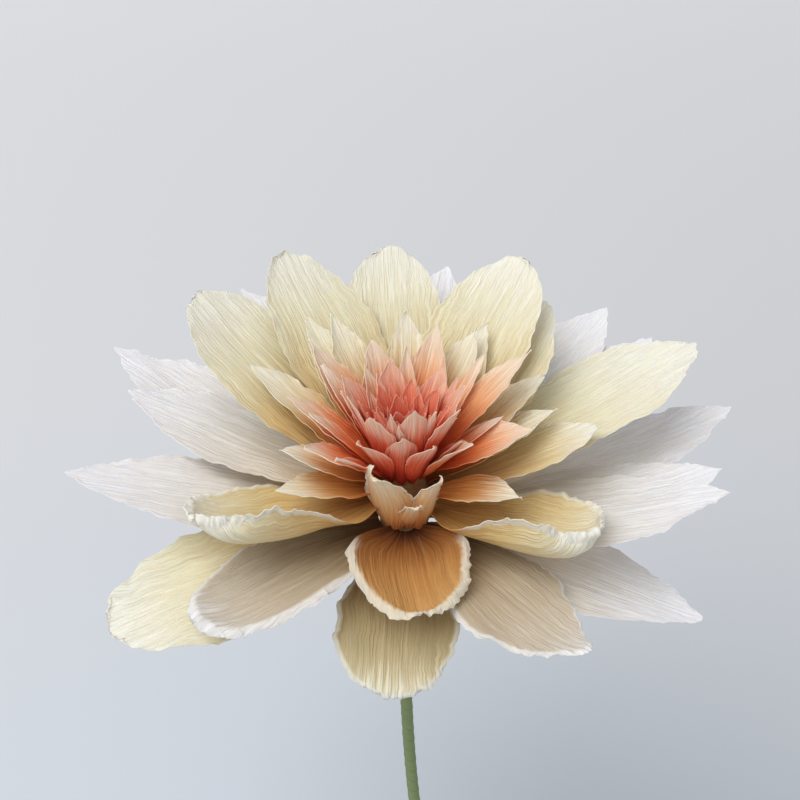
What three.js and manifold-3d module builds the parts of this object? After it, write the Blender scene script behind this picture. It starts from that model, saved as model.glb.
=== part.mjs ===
// A giant crepe paper dahlia on a taped wire stem.
// Each petal is cut from heavy crepe paper, pinched at its claw, curled by hand and glued in rows round a
// padded core on the end of a wire. The smallest petals stay joined as fringed strips wound round its top.
// Millimetres, +Z up. The origin is the centre of the wire's cut lower end, which goes into a vase or stand.
import * as THREE from "three";
import { mergeVertices } from "three/addons/utils/BufferGeometryUtils.js";
import Module from "manifold-3d";

const wasm = await Module();
wasm.setup();

// Driving sizes
const headHeight = 330; // from the wire's cut end to the underside of the bloom
const headShift = -20; // the stem leans this far to one side on its way up
const headReach = 25; // and this far forward
const lowerPull = 0.3; // share of the stem's height that its lower end is eased over
const upperPull = 0.75; // and its upper end, under the bloom
const nod = 12; // degrees that the bloom faces forward
const seatGap = 0.3; // clearance between pieces that touch
const wireRadius = 1.3;
const wireEntry = 26; // the wire runs this far up into the core
const tapeRadius = 3.3; // outside of the floral tape wound on the wire
const footHeight = 17; // the tape widens over this height to cover the glued claws from below
const footInset = 1; // and stops this far inside the core's rim
const footRim = 1; // height of its upper edge
const footLip = 0.2; // and at its lower end it is this much thicker than the tape on the wire
const paper = 0.6; // thickness of a petal, with the paper's creping
const pinch = 38; // degrees that a petal is cupped more at its claw, where it is pinched
const pinchFade = 12; // how fast that fades along the petal
const flickStart = 0.65; // share of a petal's length where its curled-up tip begins
const shoulder = 1.15; // a higher value keeps a petal narrow for longer beyond its claw
const taper = 1.8; // a higher value keeps it wide for longer towards its tip
const coreRadius = 11.5;
const firstRow = 0.5; // height of the lowest row above the underside of the bloom
const rowStep = 3.6; // from one row of large petals to the next
const innerStep = 2.3; // from one row of small petals to the next
const stripStep = 2.5; // from one fringed strip to the next
const crown = 2.5; // the core stands this far above the last strip

// Mesh fineness
const stemSides = 8;
const stemSteps = 10;
const coreSides = 16;
const coreSteps = 8;
const plainGrid = [6, 4]; // steps along a large petal and across it
const curledGrid = [8, 6];
const smallGrid = [4, 4];
const fringeGrid = [3, 2];

// The flat outlines that the petals are cut to. long and wide are in millimetres, claw is the width of the
// glued end, widest is how far along it is widest, point is 1 for a sharp tip and 0.5 for a round one, and
// cup is half the angle that its cross-section curves through, in degrees.
const cuts = {
  guard: { long: 146, wide: 54, claw: 5.6, widest: 0.55, point: 0.95, cup: 8, paper: "white" },
  ray: { long: 128, wide: 54, claw: 5.6, widest: 0.62, point: 0.7, cup: 11, paper: "cream" },
  inner: { long: 74, wide: 25, claw: 4.2, widest: 0.55, point: 1, cup: 22, paper: "butter" },
  heart: { long: 56, wide: 21, claw: 3.8, widest: 0.6, point: 0.95, cup: 26, paper: "peach" },
  fringe: { long: 34, wide: 13, claw: 4, widest: 0.55, point: 1, cup: 30, paper: "coral" },
};

// How each petal is glued and curled. turn is its direction round the bloom, anticlockwise from +X seen from
// above. slope is its mean rise, bow is how much that rise grows from claw to tip, flick curls its last
// third up, roll lifts its anticlockwise side, and left and right curl up the anticlockwise and the
// clockwise edge. All are in degrees. long and wide are shares of the sizes that its cut gives.
const outerRows = [
  [
    ["guard", 12, { turn: -17, slope: -10, bow: -4, long: 0.92 }],
    ["guard", 9, { turn: 20, slope: 9, bow: 14, long: 1.16 }],
    ["ray", 11, { turn: 206, slope: -4, bow: -8, roll: -16, long: 1.03, wide: 1.08, point: 0.55 }],
    ["ray", 12, { turn: 266, slope: -29, bow: -30, long: 0.6, wide: 1.05, point: 0.5 }],
  ],
  [
    ["guard", 13, { turn: -48, slope: -7, flick: 50, long: 0.72 }],
    ["guard", 10, { turn: 1, slope: 10.5, bow: 24, long: 0.96 }],
    ["guard", 8, { turn: 34, slope: 19, long: 1.04 }],
    ["guard", 5, { turn: 112, slope: 19, long: 0.95 }],
    ["guard", 2, { turn: 150, slope: 14.5, long: 1.15 }],
    ["guard", 1, { turn: 184, slope: 13.4, bow: 8 }],
    ["guard", 14, { turn: 219, slope: -3, flick: 50, cup: 22, left: 30, long: 0.72, wide: 1.15, point: 0.5 }],
    ["ray", 8, { turn: 274, slope: -6, flick: 110, cup: 62, long: 0.47, wide: 1.08, widest: 0.55, point: 0.5 }],
  ],
  [
    ["guard", 11, { turn: -7, slope: 10, bow: 26, long: 0.96 }],
    ["guard", 7, { turn: 45, slope: 20, long: 1.03 }],
    ["inner", 11, { turn: 249, slope: 73, cup: 48, long: 0.52, wide: 0.94, widest: 0.7, point: 0.5 }],
    ["inner", 12, { turn: 279, slope: 55, cup: 66, long: 0.42, wide: 0.54, point: 0.6 }],
    ["inner", 13, { turn: 301, slope: 71, cup: 72, long: 0.44, wide: 0.54, point: 0.6 }],
  ],
  [
    ["ray", 6, { turn: 24, slope: 19, long: 1.22, wide: 1.08, widest: 0.66, point: 0.8 }],
    ["guard", 6, { turn: 80, slope: 26, long: 0.94 }],
  ],
  [
    ["ray", 7, { turn: -28, slope: 4, bow: 36, flick: 80, cup: 34, right: 84, long: 0.74, wide: 1.28, point: 0.5 }],
    ["ray", 5, { turn: 50, slope: 32, long: 0.91 }],
    ["guard", 4, { turn: 130.5, slope: 27.5, long: 0.9 }],
    ["guard", 3, { turn: 158.6, slope: 10.8, long: 0.95 }],
  ],
  [
    ["ray", 10, { turn: 6, slope: 21, bow: 4, long: 0.66, wide: 0.6 }],
    ["ray", 3, { turn: 94, slope: 37, bow: 6, long: 0.98, point: 0.6 }],
    ["ray", 1, { turn: 147, slope: 33, bow: 4, long: 1.01, wide: 1.08, point: 0.5 }],
    ["ray", 9, { turn: 206, slope: 6.4, bow: 30, flick: 60, cup: 21, left: 93, long: 0.77, wide: 1.25, point: 0.5 }],
  ],
  [
    ["ray", 4, { turn: 61, slope: 37.5, bow: 4, long: 0.96, point: 0.55 }],
    ["ray", 2, { turn: 120, slope: 38, bow: 4, long: 0.98, point: 0.6 }],
    ["inner", 7, { turn: 16, slope: 26, long: 0.95 }],
    ["inner", 9, { turn: 200, slope: 15, long: 0.7 }],
    ["inner", 10, { turn: -24, slope: 14, long: 0.66 }],
  ],
];
const innerRows = [
  [
    ["inner", 6, { turn: 23, slope: 31, long: 1, wide: 0.9 }],
    ["inner", 3, { turn: 54, slope: 39, long: 1.08 }],
    ["inner", 4, { turn: 129, slope: 40, long: 1.15 }],
    ["inner", 5, { turn: 158, slope: 33, long: 1.08 }],
    ["inner", 8, { turn: 189, slope: 26, long: 0.7 }],
  ],
  [
    ["inner", 2, { turn: 58, slope: 44, long: 0.96 }],
    ["inner", 1, { turn: 87, slope: 51, long: 0.99 }],
    ["inner", 14, { turn: 121, slope: 46, long: 1.04 }],
  ],
  [
    ["heart", 7, { turn: 26, slope: 42, long: 1.3 }],
    ["heart", 6, { turn: 73, slope: 53, long: 1.16 }],
    ["heart", 2, { turn: 112, slope: 58, long: 1.04 }],
    ["heart", 1, { turn: 143, slope: 50, long: 1.22 }],
    ["heart", 9, { turn: 171, slope: 40 }],
    ["heart", 3, { turn: 203, slope: 33, long: 0.8 }],
    ["heart", 10, { turn: 232, slope: 58, long: 0.66, wide: 0.8 }],
    ["heart", 8, { turn: 262, slope: 70, long: 0.64, wide: 0.74 }],
    ["heart", 5, { turn: 293, slope: 59.5, long: 0.64, wide: 0.78 }],
    ["heart", 4, { turn: 326, slope: 48, long: 0.66, wide: 0.95 }],
    ["heart", 11, { turn: -2, slope: 27, long: 0.97, wide: 1.35 }],
  ],
];

// Fringed strips, each cut along one edge into points and wound once round the core. slope is the points'
// rise at the sides, lean is added to it at the back and taken from it at the front, and each point sways
// the other way from its neighbours.
const sway = 3;
const strips = [
  { name: "peach_strip", kind: "heart", count: 8, turn: 12, slope: 64, lean: -8, long: 0.8, wide: 0.84 },
  { name: "coral_strip_low", kind: "fringe", count: 8, turn: 34, slope: 72, lean: -5, long: 1, wide: 1 },
  { name: "coral_strip_high", kind: "fringe", count: 8, turn: 12, slope: 79, lean: -2, long: 0.8, wide: 0.9 },
  { name: "coral_strip_top", kind: "fringe", count: 6, turn: 0, slope: 84, lean: -1, long: 0.55, wide: 0.9 },
];

const innerStart = firstRow + outerRows.length * rowStep;
const stripStart = innerStart + innerRows.length * innerStep;
const coreHeight = stripStart + (strips.length - 1) * stripStep + crown;
const tipWidth = 0.001; // a tip is never narrower than this, to stay one closed sheet
const radians = THREE.MathUtils.degToRad;
const { clamp, smoothstep } = THREE.MathUtils;

// Materials
const matt = (color) => new THREE.MeshStandardMaterial({ color, roughness: 0.9, side: THREE.DoubleSide });
const papers = {
  white: matt(0xe9e4e6),
  cream: matt(0xeee3bd),
  butter: matt(0xe9c98c),
  peach: matt(0xf0a781),
  coral: matt(0xe0705a),
};
const tapeFinish = matt(0x7d9160);
const wadding = matt(0xb9a678);
const steel = new THREE.MeshStandardMaterial({ color: 0xb0b0ac, roughness: 0.4, metalness: 1 });

// Radius of the core at a height above the underside of the bloom
function coreRadiusAt(height) {
  const share = clamp(height / coreHeight, 0, 1);
  return coreRadius * Math.sqrt(1 - share ** 3);
}

// Half of a petal's flat width, at a share u of its length
function halfWidth(cut, u) {
  const claw = cut.claw / cut.wide;
  const past = clamp((u - cut.widest) / (1 - cut.widest), 0, 1);
  const spread = Math.sin((Math.PI / 2) * clamp(u / cut.widest, 0, 1)) ** shoulder;
  return (cut.wide / 2) * (claw + (1 - claw) * spread) * Math.max(1 - past ** taper, tipWidth) ** cut.point;
}

// The middle surface of a petal that leaves the origin along +X, as rows of points from claw to tip. Each
// row runs from the petal's clockwise edge to its anticlockwise edge.
function petalSurface(cut, pose, [alongSteps, acrossSteps]) {
  const { slope, bow = 0, flick = 0, roll = 0, left = 0, right = 0 } = pose;
  const flicked = (u) => clamp((u - flickStart) / (1 - flickStart), 0, 1) ** 2;
  const riseAt = (u) => radians(slope + bow * (u - 0.5) + flick * flicked(u));
  const substeps = 6;
  const stride = cut.long / (alongSteps * substeps);
  const middle = new THREE.Vector3();
  const grid = [];
  for (let i = 0; i <= alongSteps; i++) {
    const u = i / alongSteps;
    for (let k = 0; i > 0 && k < substeps; k++) {
      const rise = riseAt(u - (k + 0.5) / (alongSteps * substeps));
      middle.x += stride * Math.cos(rise);
      middle.z += stride * Math.sin(rise);
    }
    const tilt = radians(roll) * smoothstep(u, 0, 0.3);
    const across = new THREE.Vector3(-Math.sin(riseAt(u)) * Math.sin(tilt), Math.cos(tilt), 0);
    across.z = Math.cos(riseAt(u)) * Math.sin(tilt);
    const up = new THREE.Vector3(-Math.sin(riseAt(u)) * Math.cos(tilt), -Math.sin(tilt), 0);
    up.z = Math.cos(riseAt(u)) * Math.cos(tilt);
    const half = halfWidth(cut, u);
    const pinched = pinch * Math.exp(-pinchFade * u);
    const curl = smoothstep(u, 0.1, 0.5);
    grid.push(
      Array.from({ length: acrossSteps + 1 }, (_, j) => {
        const v = (2 * j) / acrossSteps - 1;
        const cup = radians(cut.cup + pinched + curl * (v > 0 ? left : right));
        const sideways = (half * Math.sin(cup * v)) / cup;
        const lift = (half * (1 - Math.cos(cup * v))) / cup;
        return middle.clone().addScaledVector(across, sideways).addScaledVector(up, lift);
      }),
    );
  }
  return grid;
}

// A closed sheet of the paper's thickness round rows of points
function sheet(grid) {
  const lastRow = grid.length - 1;
  const columns = grid[0].length;
  const normals = grid.map((row, i) =>
    row.map((_, j) => {
      const along = grid[Math.min(i + 1, lastRow)][j].clone().sub(grid[Math.max(i - 1, 0)][j]);
      const across = row[Math.min(j + 1, columns - 1)].clone().sub(row[Math.max(j - 1, 0)]);
      return along.cross(across).normalize();
    }),
  );
  const side = (offset) =>
    grid.flatMap((row, i) => row.map((p, j) => p.clone().addScaledVector(normals[i][j], offset)));
  const points = [...side(paper / 2), ...side(-paper / 2)];
  const under = points.length / 2;
  const index = [];
  const quad = (a, b, c, d) => index.push(a, b, c, a, c, d);
  for (let i = 0; i < lastRow; i++)
    for (let j = 0; j < columns - 1; j++) {
      const a = i * columns + j;
      quad(a, a + columns, a + columns + 1, a + 1);
      quad(under + a, under + a + 1, under + a + columns + 1, under + a + columns);
    }
  const rim = [];
  for (let j = 0; j < columns - 1; j++) rim.push(j);
  for (let i = 0; i < lastRow; i++) rim.push(i * columns + columns - 1);
  for (let j = columns - 1; j > 0; j--) rim.push(lastRow * columns + j);
  for (let i = lastRow; i > 0; i--) rim.push(i * columns);
  rim.forEach((a, k) => {
    const b = rim[(k + 1) % rim.length];
    quad(a, b, under + b, under + a);
  });
  return new THREE.BufferGeometry().setFromPoints(points).setIndex(index);
}

// How far from the axis a petal's claw is glued, for all of it to clear the core
function seatRadius(grid, height) {
  const clear = seatGap + paper / 2;
  const reach = (p) => (coreRadiusAt(p.z + height) + clear) ** 2 - p.y ** 2;
  const beside = grid.flat().filter((p) => p.z + height < coreHeight);
  return Math.max(...beside.map((p) => Math.sqrt(Math.max(reach(p), 0)) - p.x));
}

// One petal's geometry, glued at a height on the core
function petalGeometry(kind, pose, height, fineness) {
  const base = cuts[kind];
  const cut = {
    ...base,
    long: base.long * (pose.long ?? 1),
    wide: base.wide * (pose.wide ?? 1),
    widest: pose.widest ?? base.widest,
    point: pose.point ?? base.point,
    cup: pose.cup ?? base.cup,
  };
  const grid = petalSurface(cut, pose, fineness);
  return sheet(grid).translate(seatRadius(grid, height), 0, height).rotateZ(radians(pose.turn));
}

function solidOf(geometry) {
  const bare = geometry.clone();
  bare.deleteAttribute("normal");
  bare.deleteAttribute("uv");
  const merged = mergeVertices(bare, 1e-3);
  return new wasm.Manifold(
    new wasm.Mesh({
      numProp: 3,
      vertProperties: merged.attributes.position.array,
      triVerts: new Uint32Array(merged.index.array),
    }),
  );
}

function geometryOf(solid) {
  const { vertProperties, triVerts } = solid.getMesh();
  const geometry = new THREE.BufferGeometry();
  geometry.setAttribute("position", new THREE.BufferAttribute(vertProperties, 3));
  return geometry.setIndex(new THREE.BufferAttribute(triVerts, 1));
}

function piece(name, geometry, material) {
  geometry.computeVertexNormals();
  const mesh = new THREE.Mesh(geometry, material);
  mesh.name = name;
  return mesh;
}

// A turned ring or solid about +Z
function turned(profile, sides) {
  const points = profile.map(([r, z]) => new THREE.Vector2(r, z));
  return new THREE.LatheGeometry(points, sides).rotateX(Math.PI / 2);
}

const head = new THREE.Group();
head.position.set(headShift, -headReach, headHeight);
head.rotation.x = radians(nod);

// Petals
const rows = [
  ...outerRows.map((row, i) => [row, firstRow + i * rowStep]),
  ...innerRows.map((row, i) => [row, innerStart + i * innerStep]),
];
for (const [row, height] of rows)
  for (const [kind, number, pose] of row) {
    const large = pose.cup ? curledGrid : plainGrid;
    const fineness = kind === "guard" || kind === "ray" ? large : smallGrid;
    const geometry = petalGeometry(kind, pose, height, fineness);
    head.add(piece(`${kind}_petal_${number}`, geometry, papers[cuts[kind].paper]));
  }

// Fringed strips
strips.forEach((strip, i) => {
  const bottom = stripStart + i * stripStep;
  const inside = (coreRadiusAt(bottom) + seatGap) / Math.cos(Math.PI / strip.count);
  const top = bottom + stripStep - seatGap;
  const outline = [
    [inside, bottom],
    [inside + paper, bottom],
    [inside + paper, top],
    [inside, top],
    [inside, bottom],
  ];
  const pitch = 360 / strip.count;
  let joined = solidOf(turned(outline, strip.count).rotateZ(radians(strip.turn + 90 + pitch / 2)));
  for (let n = 0; n < strip.count; n++) {
    const turn = strip.turn + pitch * n;
    const slope = strip.slope + strip.lean * Math.sin(radians(turn)) + (n % 2 ? -sway : sway);
    const pose = { turn, slope, long: strip.long, wide: strip.wide };
    joined = joined.add(solidOf(petalGeometry(strip.kind, pose, bottom + paper, fringeGrid)));
  }
  head.add(piece(strip.name, geometryOf(joined), papers[cuts[strip.kind].paper]));
});

// Padded core, with a blind hole for the wire
const boreRadius = (wireRadius + seatGap) / Math.cos(Math.PI / stemSides);
const coreProfile = [
  [0, wireEntry + seatGap],
  [boreRadius, wireEntry + seatGap],
  [boreRadius, 0],
];
for (let i = 0; i <= coreSteps; i++) {
  const height = coreHeight * Math.sin((Math.PI / 2) * (i / coreSteps));
  coreProfile.push([coreRadiusAt(height), height]);
}
head.add(piece("core", turned(coreProfile, coreSides), wadding));

// Stem
const axis = new THREE.Vector3(0, 0, 1).applyEuler(head.rotation);
const alongHead = (distance) => head.position.clone().addScaledVector(axis, distance);
const stemCurve = new THREE.CubicBezierCurve3(
  new THREE.Vector3(0, 0, 0),
  new THREE.Vector3(0, 0, lowerPull * headHeight),
  alongHead(-upperPull * headHeight),
  alongHead(-footHeight),
);

function ringShape(outer, inner) {
  const corners = (radius) =>
    Array.from({ length: stemSides }, (_, i) => {
      const angle = (2 * Math.PI * i) / stemSides;
      return new THREE.Vector2(radius * Math.cos(angle), radius * Math.sin(angle));
    });
  const shape = new THREE.Shape(corners(outer));
  if (inner) shape.holes.push(new THREE.Path(corners(inner)));
  return shape;
}

// The stem's route from its cut end up into the core, as far as a height above the underside of the bloom
function stemPath(height) {
  const path = new THREE.CurvePath();
  path.add(stemCurve);
  path.add(new THREE.LineCurve3(alongHead(-footHeight), alongHead(height)));
  return path;
}

const wire = new THREE.ExtrudeGeometry(ringShape(wireRadius), {
  extrudePath: stemPath(wireEntry),
  steps: stemSteps,
});

// The floral tape is one winding: a sleeve down the wire, and a cone under the core over the glued claws.
const sleeve = new THREE.ExtrudeGeometry(ringShape(tapeRadius, boreRadius), {
  extrudePath: stemPath(-seatGap),
  steps: stemSteps,
});
const wound = (tapeRadius + boreRadius) / 2;
const rim = coreRadius - footInset;
const foot = turned(
  [
    [wound, -footHeight],
    [tapeRadius + footLip, -footHeight],
    [rim, -seatGap - footRim],
    [rim, -seatGap],
    [wound, -seatGap],
    [wound, -footHeight],
  ],
  coreSides,
);
head.updateMatrix();
const tape = solidOf(sleeve).add(solidOf(foot.applyMatrix4(head.matrix)));

const flower = new THREE.Group();
flower.add(head);
flower.add(piece("stem_wire", wire, steel));
flower.add(piece("stem_tape", geometryOf(tape), tapeFinish));

export default flower;
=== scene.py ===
# The looks of a giant crepe paper dahlia on a taped wire stem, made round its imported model.
# Metres, in the model's own frame: +Z up, with the cut end of the stem at the origin. Angles in
# tables are in degrees, and a span runs from one share of a petal's length to another.
import math

import bpy
import numpy as np
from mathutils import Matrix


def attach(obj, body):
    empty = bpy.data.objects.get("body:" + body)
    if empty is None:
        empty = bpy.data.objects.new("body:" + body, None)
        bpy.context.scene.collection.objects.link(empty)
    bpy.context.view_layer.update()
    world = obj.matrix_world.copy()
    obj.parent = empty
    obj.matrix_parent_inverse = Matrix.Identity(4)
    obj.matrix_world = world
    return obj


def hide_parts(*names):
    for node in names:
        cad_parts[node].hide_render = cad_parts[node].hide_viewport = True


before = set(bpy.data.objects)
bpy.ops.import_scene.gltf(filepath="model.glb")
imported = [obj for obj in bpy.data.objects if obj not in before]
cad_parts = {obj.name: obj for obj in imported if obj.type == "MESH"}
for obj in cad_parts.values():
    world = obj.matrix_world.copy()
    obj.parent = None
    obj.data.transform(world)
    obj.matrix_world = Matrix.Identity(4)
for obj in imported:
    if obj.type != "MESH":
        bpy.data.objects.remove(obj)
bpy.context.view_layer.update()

# Stem wire: one length of 2.6 mm drawn steel that is pushed up into the core and glued there.
# Only its cut lower end shows, inside the tape. It is bright, with fine marks from drawing.
wire_bright = (0.46, 0.46, 0.45, 1)
wire_dull = (0.3, 0.3, 0.29, 1)
wire_smooth, wire_uneven = 0.3, 0.2
drawing_marks = (4000, 4000, 60)


class Flow:
    """A socket of a material, so that sums on it are written as plain expressions."""

    def __init__(self, tree, socket=None):
        self.tree = tree
        self.socket = socket

    def node(self, kind, settings, inputs, output=0):
        """Adds one node from its type, its settings, and the values or flows of its sockets."""
        made = self.tree.nodes.new("ShaderNode" + kind)
        for name, value in settings.items():
            if name == "stops":
                ramp = made.color_ramp.elements
                while len(ramp) < len(value):
                    ramp.new(1)
                for stop, (place, colour) in zip(ramp, value):
                    stop.position = place
                    stop.color = colour
            else:
                setattr(made, name, value)
        for name, value in inputs.items():
            if isinstance(value, Flow):
                self.tree.links.new(value.socket, made.inputs[name])
            else:
                made.inputs[name].default_value = value
        return Flow(self.tree, made.outputs[output])

    def maths(self, operation, first, second):
        """One sum on two values or flows."""
        return self.node("Math", {"operation": operation}, {0: first, 1: second})

    def __add__(self, other):
        return self.maths("ADD", self, other)

    __radd__ = __add__

    def __sub__(self, other):
        return self.maths("SUBTRACT", self, other)

    def __rsub__(self, other):
        return self.maths("SUBTRACT", other, self)

    def __mul__(self, other):
        return self.maths("MULTIPLY", self, other)

    __rmul__ = __mul__

    def __truediv__(self, other):
        return self.maths("DIVIDE", self, other)

    def between(self, low, high):
        """How far this value is from low to high, from 0 to 1 and eased at both ends."""
        settings = {"interpolation_type": "SMOOTHSTEP"}
        return self.node("MapRange", settings, {"Value": self, "From Min": low, "From Max": high})

    def blend(self, colour, other):
        """The first colour where this value is 0, the other where it is 1."""
        return self.node("Mix", {"data_type": "RGBA"}, {0: self, 6: colour, 7: other}, 2)

    def times(self, factor):
        """A colour or vector made that much stronger."""
        return self.node("VectorMath", {"operation": "SCALE"}, {0: self, "Scale": factor})

    def stretched(self, scales):
        """A place whose three directions are scaled one by one, in waves per metre."""
        return self.node("VectorMath", {"operation": "MULTIPLY"}, {0: self, 1: scales})

    def noise(self, detail=2.0):
        """Cloudy noise from 0 to 1, with this flow as its place."""
        return self.node("TexNoise", {}, {"Vector": self, "Scale": 1.0, "Detail": detail})


def finish(name, surface):
    """A new material. surface is given an empty flow and returns the shader's sockets."""
    material = bpy.data.materials.new(name)
    material.use_nodes = True
    tree = material.node_tree
    tree.nodes.clear()
    shader = Flow(tree).node("BsdfPrincipled", {}, surface(Flow(tree)))
    tree.links.new(shader.socket, tree.nodes.new("ShaderNodeOutputMaterial").inputs["Surface"])
    return material


def dress(node, material):
    """Gives a solid of the model that stays in view its finish."""
    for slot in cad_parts[node].material_slots:
        slot.material = material


def drawn_steel(flow):
    place = flow.node("TexCoord", {}, {}, "Object")
    marks = place.stretched(drawing_marks).noise()
    return {
        "Base Color": marks.blend(wire_bright, wire_dull),
        "Metallic": 1.0,
        "Roughness": wire_smooth + wire_uneven * marks,
    }


dress("stem_wire", finish("drawn_steel", drawn_steel))

# Core: the end of the wire wound with paper and wadding to 23 mm across, soaked with glue.
# It is hidden but for slits between the petals, so it only needs a dark, rough, fibrous finish.
core_radius = 0.0115
core_light = (0.36, 0.2, 0.08, 1)
core_dark = (0.16, 0.07, 0.025, 1)
winding_scale = (260, 260, 900)
winding_relief = 0.0006


def wound_wadding(flow):
    place = flow.node("TexCoord", {}, {}, "Object")
    windings = place.stretched(winding_scale).noise(4.0)
    grain = flow.node("Bump", {}, {"Height": windings, "Strength": 0.6, "Distance": winding_relief})
    return {
        "Base Color": windings.blend(core_dark, core_light),
        "Roughness": 0.95,
        "Normal": grain,
    }


dress("core", finish("wound_wadding", wound_wadding))

# Floral tape: green crepe tape 12 mm wide, wound over the glued claws, where it widens into a
# cone, and then stretched and wound down the wire in a spiral that covers over a third of itself.
head_height = 0.33
head_shift = -0.02
head_reach = 0.025
nod = math.radians(12)
lower_pull = 0.3
upper_pull = 0.75
route_steps = 200
seat_gap = 0.0003
bore_sides = 8
bore_radius = 0.0016 / math.cos(math.pi / bore_sides)
tape_radius = 0.0033
foot_height = 0.017
foot_rim = 0.001
foot_step = 0.001
foot_radius = core_radius - foot_step
tape_pitch = 0.0075
tape_thickness = 0.0003
tape_row = 0.0007
tape_columns = 40
tape_wrinkle = 0.00006
wrinkle_length = 0.0011
wrinkles_round = 3
tape_seed = 5
sharp_fold = math.radians(62)
tape_dark = (0.16, 0.21, 0.085, 1)
tape_light = (0.27, 0.33, 0.155, 1)
# Painted shade: a darker band along the lapping edge of each turn, at the step it makes.
tape_lap_shadow = (0.1, 0.13, 0.05, 1)
lap_shadow_share = 0.12
tape_rough, tape_uneven = 0.72, 0.15
crinkle_scale = (1400, 500, 0)
crinkle_relief = 0.0003
cloud_scale = (160, 90, 40)
head_place = np.array([head_shift, -head_reach, head_height])
head_axis = np.array([0, -math.sin(nod), math.cos(nod)])


def ease(value, low, high):
    """From 0 at low to 1 at high, with a smooth start and end."""
    share = np.clip((value - low) / (high - low), 0, 1)
    return share * share * (3 - 2 * share)


def drift(x, y, seed):
    """Smooth seeded noise from -1 to 1, whose waves are about two units long."""
    size = 64
    lattice = np.random.default_rng(seed).uniform(-1, 1, (size, size))
    i = np.floor(x).astype(int)
    j = np.floor(y).astype(int)
    s = ease(x - i, 0, 1)
    t = ease(y - j, 0, 1)
    near = lattice[i % size, j % size] * (1 - s) + lattice[(i + 1) % size, j % size] * s
    far = lattice[i % size, (j + 1) % size] * (1 - s) + lattice[(i + 1) % size, (j + 1) % size] * s
    return near * (1 - t) + far * t


def direction(vectors):
    """The same vectors, each one unit long."""
    return vectors / np.maximum(np.linalg.norm(vectors, axis=-1, keepdims=True), 1e-12)


def stem_route(spacing):
    """Points along the stem from its cut end to the underside of the bloom, evenly spaced."""
    corners = np.array(
        [
            [0, 0, 0],
            [0, 0, lower_pull * head_height],
            head_place - upper_pull * head_height * head_axis,
            head_place - foot_height * head_axis,
        ]
    )
    t = np.linspace(0, 1, route_steps)[:, None]
    weights = np.hstack([(1 - t) ** 3, 3 * t * (1 - t) ** 2, 3 * t**2 * (1 - t), t**3])
    points = np.vstack([weights @ corners, head_place - seat_gap * head_axis])
    run = np.concatenate([[0], np.cumsum(np.linalg.norm(np.diff(points, axis=0), axis=1))])
    at = np.linspace(0, run[-1], int(run[-1] / spacing))
    return np.stack([np.interp(at, run, points[:, k]) for k in range(3)], 1), at


def joined_rings(rings, columns):
    """Quads between rings of points, each with its last point joined to its first."""
    row, column = np.meshgrid(np.arange(rings - 1), np.arange(columns), indexing="ij")
    a = (row * columns + column).ravel()
    b = (row * columns + (column + 1) % columns).ravel()
    return np.stack([a, b, b + columns, a + columns], 1)


def paper_object(name, points, faces, grain, share, rim):
    """A mesh object with what its finish reads: the grain's place, share of the length and rim."""
    mesh = bpy.data.meshes.new(name)
    mesh.from_pydata(points.tolist(), [], faces.tolist())
    mesh.attributes.new("grain", "FLOAT_VECTOR", "POINT").data.foreach_set("vector", grain.ravel())
    mesh.attributes.new("share", "FLOAT", "POINT").data.foreach_set("value", share.ravel())
    mesh.attributes.new("rim", "FLOAT", "POINT").data.foreach_set("value", rim.ravel())
    mesh.shade_smooth()
    mesh.set_sharp_from_angle(angle=sharp_fold)
    made = bpy.data.objects.new(name, mesh)
    bpy.context.collection.objects.link(made)
    return made


def wound_tape():
    """The winding as a closed tube: its outside steps down where each turn covers the last, and
    its inside is the bore that the wire lies in."""
    route, run = stem_route(tape_row)
    to_head = run[-1] - run[:, None]
    tangent = direction(np.gradient(route, axis=0))
    first = direction(np.cross([0.0, 1.0, 0.0], tangent))
    second = np.cross(tangent, first)
    turn = np.linspace(0, 2 * math.pi, tape_columns, endpoint=False)[None, :]
    cone = np.clip((foot_height - to_head) / (foot_height - foot_rim), 0, 1)
    radius = tape_radius - tape_thickness + (foot_radius - tape_radius) * cone
    lap = (run[:, None] / tape_pitch + turn / (2 * math.pi)) % 1.0
    wrinkles = drift(run[:, None] / wrinkle_length, turn * wrinkles_round, tape_seed)
    radius = radius + tape_thickness * (1 - lap) + tape_wrinkle * wrinkles
    spoke = first[:, None] * np.cos(turn)[..., None] + second[:, None] * np.sin(turn)[..., None]
    outside = route[:, None] + spoke * radius[..., None]
    inside = route[:, None] + spoke * bore_radius
    rings = np.concatenate([inside[:1], outside, inside[::-1]])
    faces = joined_rings(len(rings), tape_columns)[:, ::-1]
    circle = np.broadcast_to(turn * tape_radius, (len(run), tape_columns))
    grain = np.stack([circle, np.broadcast_to(run[:, None], circle.shape), lap], -1)
    grain = np.concatenate([grain[:1], grain, grain[::-1]])
    rim = np.concatenate([lap[:1], lap, lap[::-1]])
    return rings.reshape(-1, 3), faces, grain.reshape(-1, 3), np.ones_like(rim), rim


def green_tape(flow):
    grain = flow.node("Attribute", {"attribute_name": "grain"}, {}, "Vector")
    lap = flow.node("Attribute", {"attribute_name": "rim"}, {}, "Fac")
    crinkle = grain.stretched(crinkle_scale).noise(3.0)
    cloud = grain.stretched(cloud_scale).noise()
    colour = cloud.blend(tape_dark, tape_light)
    # Painted shade along each turn's lapping edge.
    edge = lap.between(0.0, lap_shadow_share)
    relief = flow.node("Bump", {}, {"Height": crinkle, "Strength": 0.5, "Distance": crinkle_relief})
    return {
        "Base Color": (1 - edge).blend(colour, tape_lap_shadow),
        "Roughness": tape_rough + tape_uneven * crinkle,
        "Normal": relief,
    }


tape = paper_object("floral_tape_winding", *wound_tape())
tape.data.materials.append(finish("green_tape", green_tape))
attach(tape, "root")
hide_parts("stem_tape")
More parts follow.
